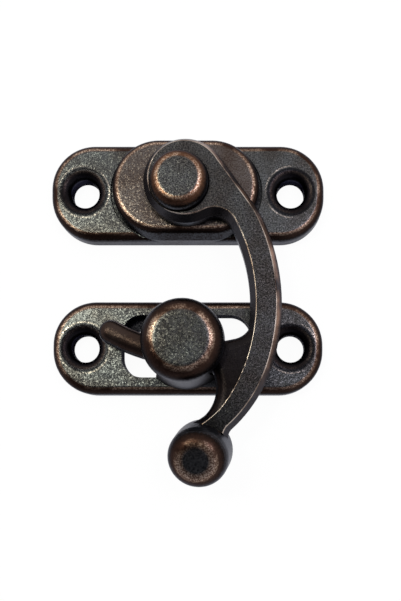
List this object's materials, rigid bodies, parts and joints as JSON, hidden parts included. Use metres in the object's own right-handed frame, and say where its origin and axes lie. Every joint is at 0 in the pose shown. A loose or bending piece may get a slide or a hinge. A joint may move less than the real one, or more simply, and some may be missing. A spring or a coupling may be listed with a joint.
{
  "type": "box latch",
  "caption": "Swing-arm box latch: a curved arm pivots on a round-ended hinge plate, and its finger slides through a bridged stud on a matching catch plate to hold a lid shut.",
  "frame": {"origin": "midway between the hinge plate's two screw holes, on the mounting plane", "axes": "+Z away from the box out of the plates, +Y from the catch plate to the hinge plate, +X along the plates to the side the arm bows to"},
  "size_m": [0.0374, 0.0463, 0.0103],
  "materials": {
    "bronzed_plate": "die-cast zinc, copper plated, blackened and rubbed back on the edges",
    "bronzed_arm": "die-cast zinc, copper plated, blackened and rubbed back on the edges",
    "bronzed_rivet": "copper plated and blackened, rubbed to brown copper on the head",
    "washer_steel": "plain pressed steel"
  },
  "bodies": {
    "plates": {"hinge_plate": "bronzed_plate", "catch_plate": "bronzed_plate", "pivot_rivet": "bronzed_rivet", "tail_washer": "washer_steel"},
    "arm": {"swing_arm": "bronzed_arm"}
  },
  "joints": [
    {"name": "arm_swing", "type": "hinge", "parent": "plates", "child": "arm", "pos_m": [-0.0007, -0.0004, 0.0058], "axis": [0, 0, 1], "range_deg": [0, 290]}
  ]
}
